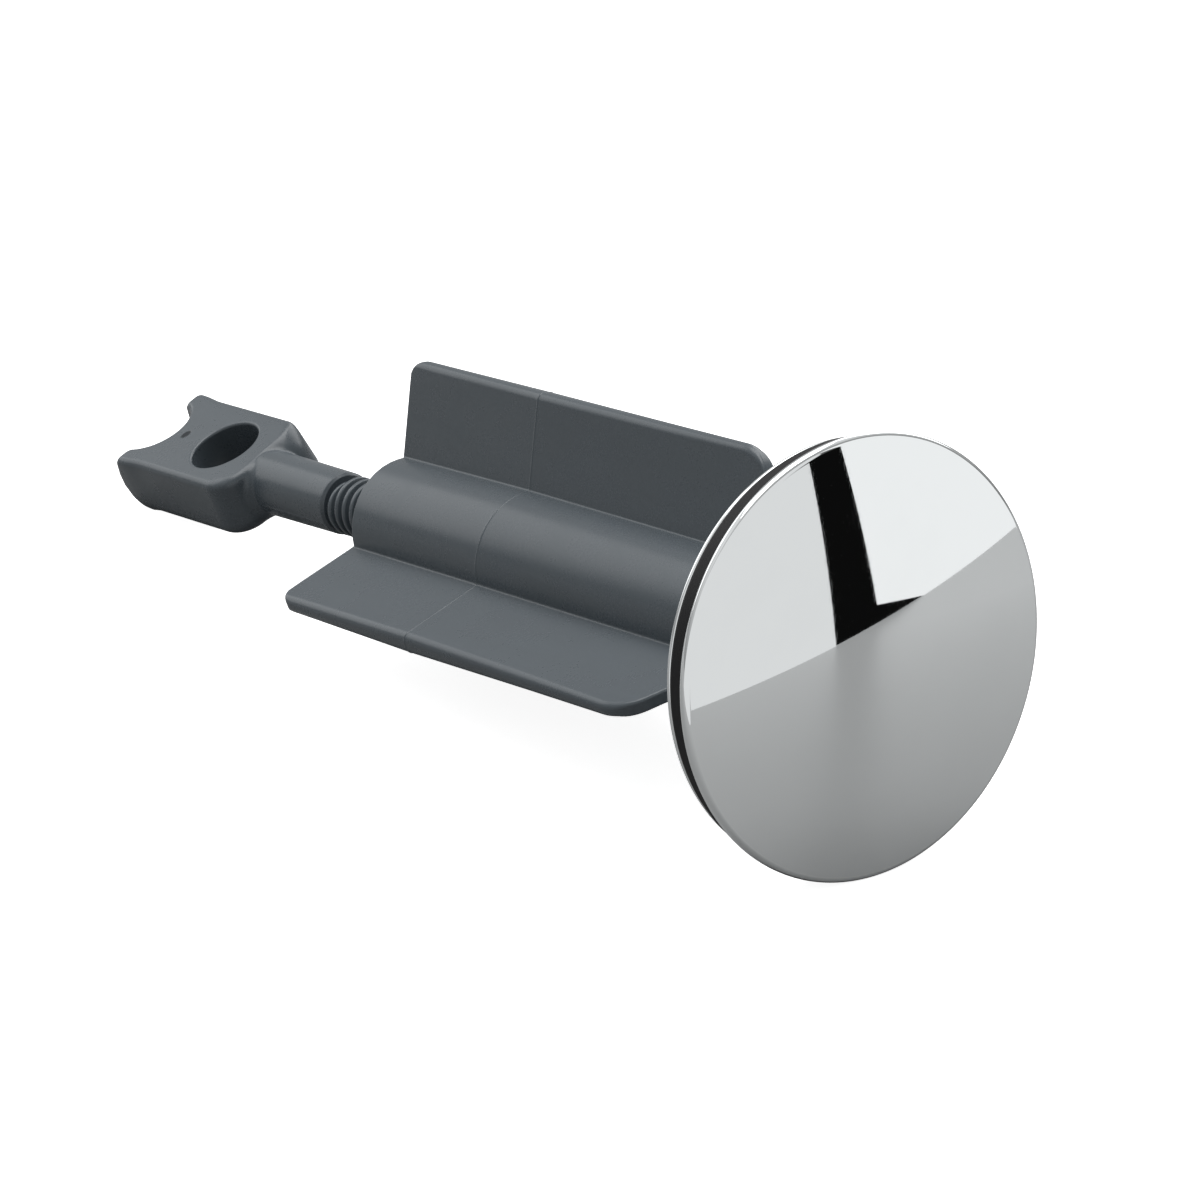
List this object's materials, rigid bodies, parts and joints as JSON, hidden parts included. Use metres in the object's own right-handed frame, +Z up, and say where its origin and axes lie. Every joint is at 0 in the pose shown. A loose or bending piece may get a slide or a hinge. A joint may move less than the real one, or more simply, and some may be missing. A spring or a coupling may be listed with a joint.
{
  "type": "pop-up basin drain stopper",
  "caption": "Pop-up basin drain stopper: a round domed chrome cap with a rubber seal behind its rim, on a finned guide body, with a screw stem that ends in an eye for the lift lever.",
  "frame": {"origin": "middle of the bounding box in X and Y, on the surface that the stopper lies on", "axes": "+Z up, +X along the stopper from the eye to the cap, seen from above. The stopper lies as it rests on a table, on the cap's rim, the far lower fin and the near corner of the eye, so its own axis rises about 7.6 degrees towards the cap."},
  "size_m": [0.1148, 0.04, 0.0397],
  "materials": {
    "chrome_cap": "polished",
    "black_rubber": "satin",
    "grey_plastic": "satin",
    "grey_plastic_stem": "satin"
  },
  "bodies": {
    "stem": {"adjusting_stem": "grey_plastic_stem"},
    "seal": {"seal_ring": "black_rubber"},
    "plug": {"cap": "chrome_cap", "fin_body": "grey_plastic"}
  },
  "joints": [
    {"name": "height_slide", "type": "slide", "parent": "stem", "child": "seal", "axis": [0.9912, 0, 0.1324], "range_m": [-0.00875, 0.0125]},
    {"name": "thread_turn", "type": "hinge", "parent": "seal", "child": "plug", "pos_m": [-0.01467, 0, 0.01062], "axis": [0.9912, 0, 0.1324], "range_deg": [-2520, 3600]}
  ],
  "couplings": [
    {"joint": "height_slide", "follows": "thread_turn", "m_per_rad": 0.00019894}
  ]
}
